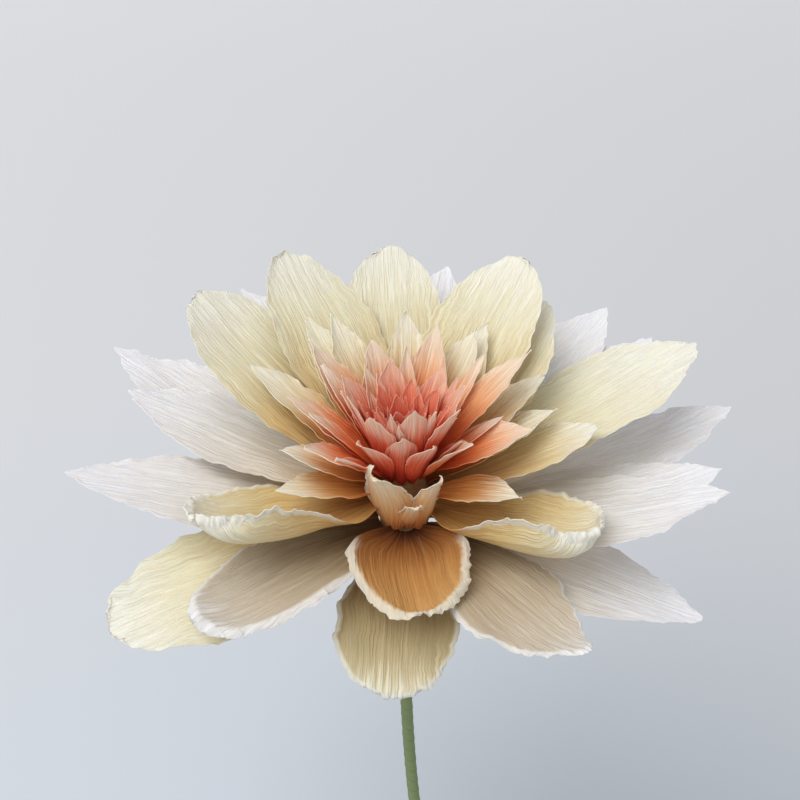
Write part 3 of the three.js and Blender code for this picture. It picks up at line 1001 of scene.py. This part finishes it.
# Fringed strips: four strips cut along one edge into points, with two thin slivers after each, and
# wound once round the top of the core, one above the other. The lowest is of the same paper as the
# front heart petals, and the three above it are coral, deep at the foot, where painted shade darkens
# them further.
fringe_cut = {"long": 0.034, "wide": 0.013, "claw": 0.004, "widest": 0.55, "point": 1, "cup": 30}
fringe_grid = (3, 2)
fringe_ridges = (0.0016, 0.00016)
fringe_seed = 1100
strip_seeds = 200
point_seeds = 5
sway = 3
cuts_a_point = 3
point_crease = 0.0008
point_lean = 0.0015
sliver_length = 0.84
sliver_uneven = 0.14
sliver_width = 0.4
sliver_rise = 3
lean_step, length_step, rise_step = 2.1, 1.3, 3.7
strips = [
    ("peach_strip", heart_cut, 8, {"turn": 12, "slope": 64, "lean": -8, "long": 0.8, "wide": 0.84}),
    ("coral_strip_low", fringe_cut, 8, {"turn": 34, "slope": 72, "lean": -5, "long": 1, "wide": 1}),
    ("coral_strip_high", fringe_cut, 8, {"turn": 12, "slope": 79, "lean": -2, "long": 0.8, "wide": 0.9}),
    ("coral_strip_top", fringe_cut, 6, {"turn": 0, "slope": 84, "lean": -1, "long": 0.55, "wide": 0.9}),
]
band_columns = 48
coral_crepe = crepe_finish(
    "coral_crepe",
    [
        (0.0, (0.4, 0.018, 0.008)),
        (0.01, (0.68, 0.04, 0.02)),
        (0.02, (0.82, 0.1, 0.045)),
        (0.03, (0.88, 0.22, 0.12)),
        (0.04, (0.9, 0.36, 0.24)),
    ],
    tip_colour=(0.89, 0.31, 0.2),
    rim_colour=(0.9, 0.4, 0.28),
    tip_from=(0.5, 1.0),
    ridge_pitch=0.0014,
)


def wound_band(bottom):
    """The uncut edge of a strip, wound round the core and glued."""
    inside = core_radius_at(bottom) + seat_gap
    top = bottom + strip_step - seat_gap
    profile = [(inside, bottom), (inside + paper, bottom), (inside + paper, top), (inside, top)]
    turn = np.linspace(0, 2 * math.pi, band_columns, endpoint=False)
    corners = [np.stack([r * np.cos(turn), r * np.sin(turn), turn * 0 + z], 1) for r, z in profile]
    points = np.concatenate(corners + corners[:1])
    whole = len(profile) * band_columns
    faces = joined_rings(len(profile) + 1, band_columns) % whole
    points = in_head(points[:whole])
    plain = np.zeros(whole)
    return points, faces, np.zeros((whole, 3)), plain, plain


for i, (node, cut, count, strip) in enumerate(strips):
    bottom = strip_start + i * strip_step
    sheets = [wound_band(bottom)]
    for n in range(count * cuts_a_point):
        point, sliver = divmod(n, cuts_a_point)
        turn = strip["turn"] + 360 / count * (point + sliver / cuts_a_point)
        slope = strip["slope"] + strip["lean"] * math.sin(math.radians(turn))
        pose = {
            "turn": turn,
            "slope": slope + (-sway if point % 2 else sway),
            "long": strip["long"],
            "wide": strip["wide"],
            "crease": point_crease,
            "skew": point_lean * unevenly(n, lean_step, i),
        }
        if sliver:
            pose["long"] *= sliver_length + sliver_uneven * unevenly(n, length_step, i)
            pose["wide"] *= sliver_width
            pose["slope"] += sliver_rise + sliver_rise * unevenly(n, rise_step)
        seed = fringe_seed + i * strip_seeds + n * point_seeds
        height = bottom + paper
        sheets.append(crepe_petal(cut, pose, height, fringe_grid, fringe_ridges, seed, small_cells))
    if cut is heart_cut:
        paper_piece(node, rose_crepe, sheets)
    else:
        paper_piece(node, coral_crepe, sheets)

# Floor: plain pale paper that runs on to the horizon, a little bluer near the flower and a little
# darker to the right, as the photo's background is. It only carries the flower's shadow.
floor_size = 90
floor_near = (0.556, 0.605, 0.666, 1)
floor_middle = (0.627, 0.641, 0.668, 1)
floor_far = (0.668, 0.673, 0.699, 1)
nearest_decade = 0.6
decades_to_far = 2.0
middle_stop = 0.35
# Painted shade: the floor is darkened towards the right, away from the lamp on the left.
painted_shade_right = 0.14
no_distance = 0.01
sky_seen = (0.66, 0.665, 0.69, 1)


def pale_floor(flow):
    place = flow.node("TexCoord", {}, {}, "Object")
    distance = flow.node("VectorMath", {"operation": "LENGTH"}, {0: place}, "Value")
    rightward = flow.node("SeparateXYZ", {}, {0: place}, "X") / (distance + no_distance)
    decades = flow.maths("LOGARITHM", distance, 10.0)
    stops = [(0.0, floor_near), (middle_stop, floor_middle), (1.0, floor_far)]
    reach = (decades + nearest_decade) / decades_to_far
    colour = flow.node("ValToRGB", {"stops": stops}, {0: reach})
    # The colour is darkened to the right as painted shade.
    return {"Base Color": colour.times(1 - painted_shade_right * rightward), "Roughness": 0.9}


bpy.ops.mesh.primitive_grid_add(x_subdivisions=2, y_subdivisions=2, size=floor_size * 2)
floor = bpy.context.object
floor.name = "pale_floor"
floor.data.materials.append(finish("pale_floor", pale_floor))

# Light: a soft bright sky all round, and a broad lamp high on the left, on the camera's side. The
# camera sees the sky as nearly the same pale tone as the far floor.
sky_light = (0.97, 0.98, 1.0, 1)
sky_strength = 0.57
lamp_strength = 1.85
lamp_spread = math.radians(50)
lamp_colour = (1.0, 0.985, 0.96)
lamp_back = math.radians(28)
lamp_left = math.radians(-27)
world = bpy.data.worlds.new("soft_sky")
bpy.context.scene.world = world
world.use_nodes = True
world.node_tree.nodes.clear()
sky = Flow(world.node_tree)
straight = sky.node("LightPath", {}, {}, "Is Camera Ray")
glossy = sky.node("LightPath", {}, {}, "Is Glossy Ray")
through = sky.node("LightPath", {}, {}, "Is Transmission Ray")
seen = sky.maths("MAXIMUM", straight, sky.maths("MAXIMUM", glossy, through))
light = sky.node("Background", {}, {"Color": sky_light, "Strength": sky_strength})
tone = sky.node("Background", {}, {"Color": sky_seen, "Strength": 1.0})
mixed = sky.node("MixShader", {}, {0: seen, 1: light, 2: tone})
sky.tree.links.new(mixed.socket, sky.tree.nodes.new("ShaderNodeOutputWorld").inputs["Surface"])

lamp = bpy.data.objects.new("high_lamp", bpy.data.lights.new("high_lamp", "SUN"))
lamp.data.energy = lamp_strength
lamp.data.angle = lamp_spread
lamp.data.color = lamp_colour
lamp.rotation_euler = (lamp_back, lamp_left, 0)
bpy.context.collection.objects.link(lamp)

# Camera: in front of the bloom and looking down on it by 20 degrees, as the photo does. Its lens
# is a normal one, and it aims at the middle of the bloom.
aim_height = 0.3925
aim_left = 0.0018
look_at = np.array([head_shift - aim_left, -head_reach, aim_height])
camera_distance = 0.52
look_down = math.radians(20)
focal_length = 50.85
camera = bpy.data.objects.new("camera", bpy.data.cameras.new("camera"))
camera.data.lens = focal_length
camera.location = look_at + camera_distance * np.array([0, -math.cos(look_down), math.sin(look_down)])
camera.rotation_euler = (math.pi / 2 - look_down, 0, 0)
bpy.context.collection.objects.link(camera)
bpy.context.scene.camera = camera
bpy.context.scene.view_settings.view_transform = "Standard"
